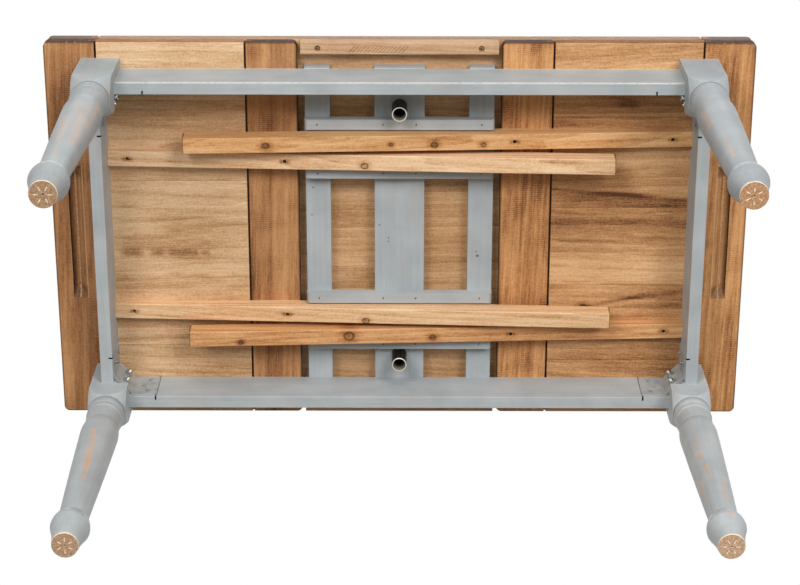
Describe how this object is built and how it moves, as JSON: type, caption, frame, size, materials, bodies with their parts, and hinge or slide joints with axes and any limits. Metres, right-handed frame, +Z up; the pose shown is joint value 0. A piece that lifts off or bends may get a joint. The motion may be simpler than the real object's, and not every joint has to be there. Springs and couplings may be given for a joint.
{
  "type": "extending dining table",
  "caption": "Draw-leaf dining table: turned legs, plank top that floats on guide tubes, and end leaves that slide out from under it on inclined bars.",
  "frame": {"origin": "on the floor under the centre of the table", "axes": "+X along the table towards the right leaf, +Y to the back, +Z up"},
  "size_m": [1.4, 0.792, 0.7803],
  "materials": {
    "painted_wood": "satin paint",
    "stained_board": "oiled",
    "plank_wood": "oiled",
    "bar_wood": "planed",
    "painted_steel": "satin",
    "zinc_steel": "zinc plated",
    "bright_tube": "bright"
  },
  "bodies": {
    "frame": {"back_apron": "painted_wood", "back_inner_guide_bar": "painted_wood", "back_left_corner_plate": "painted_steel", "back_left_leg": "painted_wood", "back_outer_guide_bar": "painted_wood", "back_right_corner_plate": "painted_steel", "back_right_leg": "painted_wood", "corner_plate_screws": "zinc_steel", "front_apron": "painted_wood", "front_inner_guide_bar": "painted_wood", "front_left_corner_plate": "painted_steel", "front_left_leg": "painted_wood", "front_outer_guide_bar": "painted_wood", "front_right_corner_plate": "painted_steel", "front_right_leg": "painted_wood", "guide_bar_nails": "zinc_steel", "hanger_bolts": "zinc_steel", "hanger_nuts": "zinc_steel", "hanger_washers": "zinc_steel", "left_apron": "painted_wood", "left_slat": "painted_wood", "right_apron": "painted_wood", "right_slat": "painted_wood", "slat_screws": "zinc_steel", "wide_slat": "painted_wood"},
    "left_leaf": {"left_leaf_back_loper": "bar_wood", "left_leaf_front_loper": "bar_wood", "left_leaf_inner_board": "stained_board", "left_leaf_loper_screws": "zinc_steel", "left_leaf_outer_board": "stained_board", "left_leaf_plank_1": "plank_wood", "left_leaf_plank_2": "plank_wood", "left_leaf_plank_3": "plank_wood", "left_leaf_plank_4": "plank_wood", "left_leaf_plank_5": "plank_wood"},
    "right_leaf": {"right_leaf_back_loper": "bar_wood", "right_leaf_front_loper": "bar_wood", "right_leaf_inner_board": "stained_board", "right_leaf_loper_screws": "zinc_steel", "right_leaf_outer_board": "stained_board", "right_leaf_plank_1": "plank_wood", "right_leaf_plank_2": "plank_wood", "right_leaf_plank_3": "plank_wood", "right_leaf_plank_4": "plank_wood", "right_leaf_plank_5": "plank_wood"},
    "top": {"back_filler_batten": "plank_wood", "back_guide_tube": "bright_tube", "batten_screws": "zinc_steel", "front_filler_batten": "plank_wood", "front_guide_tube": "bright_tube", "top_left_end_board": "stained_board", "top_plank_1": "plank_wood", "top_plank_2": "plank_wood", "top_plank_3": "plank_wood", "top_plank_4": "plank_wood", "top_plank_5": "plank_wood", "top_right_end_board": "stained_board"}
  },
  "joints": [
    {"name": "left_leaf_draw", "type": "slide", "parent": "frame", "child": "left_leaf", "axis": [-0.9986, 0, 0.0525], "range_m": [0, 0.488]},
    {"name": "right_leaf_draw", "type": "slide", "parent": "frame", "child": "right_leaf", "axis": [0.9986, 0, 0.0525], "range_m": [0, 0.488]},
    {"name": "top_lift", "type": "slide", "parent": "frame", "child": "top", "axis": [0, 0, 1], "range_m": [0, 0.0262]}
  ],
  "couplings": [
    {"joint": "right_leaf_draw", "follows": "left_leaf_draw", "ratio": 1},
    {"joint": "top_lift", "follows": "left_leaf_draw", "ratio": 0.053}
  ]
}
